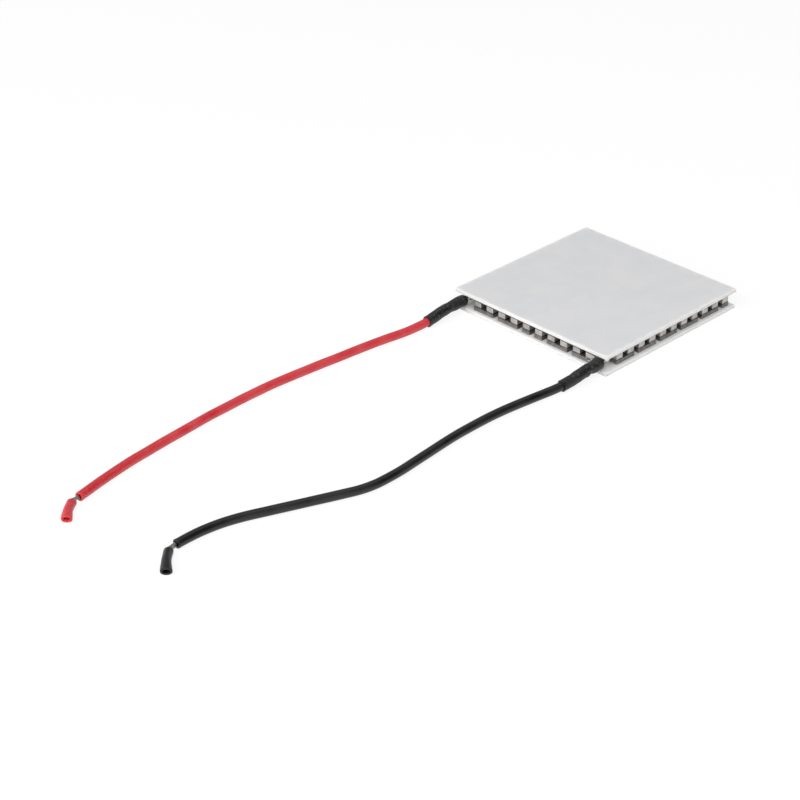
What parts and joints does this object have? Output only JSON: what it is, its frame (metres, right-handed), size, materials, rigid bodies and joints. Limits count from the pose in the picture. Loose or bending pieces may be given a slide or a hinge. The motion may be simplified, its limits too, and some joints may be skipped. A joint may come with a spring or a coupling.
{
  "type": "thermoelectric cooling module",
  "caption": "Flat square thermoelectric cooling module: two ceramic plates with soldered semiconductor legs and copper tabs between them, and a red and a black lead with stripped ends.",
  "frame": {"origin": "centre of the lower ceramic plate's underside", "axes": "+Z from the lower plate to the upper, lead-carrying plate, normal to both; the leads leave towards -Y, the red one at -X and the black one at +X"},
  "size_m": [0.0422, 0.1438, 0.0043],
  "materials": {
    "lower_ceramic": "matte white alumina",
    "upper_ceramic": "matte pale grey-white alumina with faint mottling",
    "tab_metal": "dull tinned copper",
    "p_leg": "cleaved grey semiconductor",
    "n_leg": "cleaved grey semiconductor",
    "leg_solder": "dull solder",
    "lead_solder": "bright solder",
    "tinned_strand": "tinned copper strand",
    "red_insulation": "satin PVC",
    "black_insulation": "satin PVC",
    "sleeve": "satin shrunk polyolefin"
  },
  "bodies": {
    "root": {"lower_plate": "lower_ceramic", "upper_plate": "upper_ceramic", "lower_tabs_row_1": "tab_metal", "lower_tabs_row_2": "tab_metal", "lower_tabs_row_3": "tab_metal", "lower_tabs_row_4": "tab_metal", "lower_tabs_row_5": "tab_metal", "lower_tabs_row_6": "tab_metal", "lower_tabs_row_7": "tab_metal", "lower_tabs_row_8": "tab_metal", "lower_tabs_row_9": "tab_metal", "lower_tabs_row_10": "tab_metal", "lower_tabs_back": "tab_metal", "upper_tabs_row_1": "tab_metal", "upper_tabs_row_2": "tab_metal", "upper_tabs_row_3": "tab_metal", "upper_tabs_row_4": "tab_metal", "upper_tabs_row_5": "tab_metal", "upper_tabs_row_6": "tab_metal", "upper_tabs_row_7": "tab_metal", "upper_tabs_row_8": "tab_metal", "upper_tabs_row_9": "tab_metal", "upper_tabs_row_10": "tab_metal", "upper_tabs_back": "tab_metal", "red_lead_pad": "tab_metal", "black_lead_pad": "tab_metal", "p_legs_row_1": "p_leg", "p_legs_row_2": "p_leg", "p_legs_row_3": "p_leg", "p_legs_row_4": "p_leg", "p_legs_row_5": "p_leg", "p_legs_row_6": "p_leg", "p_legs_row_7": "p_leg", "p_legs_row_8": "p_leg", "p_legs_row_9": "p_leg", "p_legs_row_10": "p_leg", "p_legs_back": "p_leg", "n_legs_row_1": "n_leg", "n_legs_row_2": "n_leg", "n_legs_row_3": "n_leg", "n_legs_row_4": "n_leg", "n_legs_row_5": "n_leg", "n_legs_row_6": "n_leg", "n_legs_row_7": "n_leg", "n_legs_row_8": "n_leg", "n_legs_row_9": "n_leg", "n_legs_row_10": "n_leg", "n_legs_back": "n_leg", "lower_leg_solder": "leg_solder", "upper_leg_solder": "leg_solder", "red_solder_joint": "lead_solder", "red_conductor": "tinned_strand", "red_lead": "red_insulation", "red_sleeve": "sleeve", "red_slug": "red_insulation", "black_solder_joint": "lead_solder", "black_conductor": "tinned_strand", "black_lead": "black_insulation", "black_sleeve": "sleeve", "black_slug": "black_insulation"}
  },
  "joints": []
}
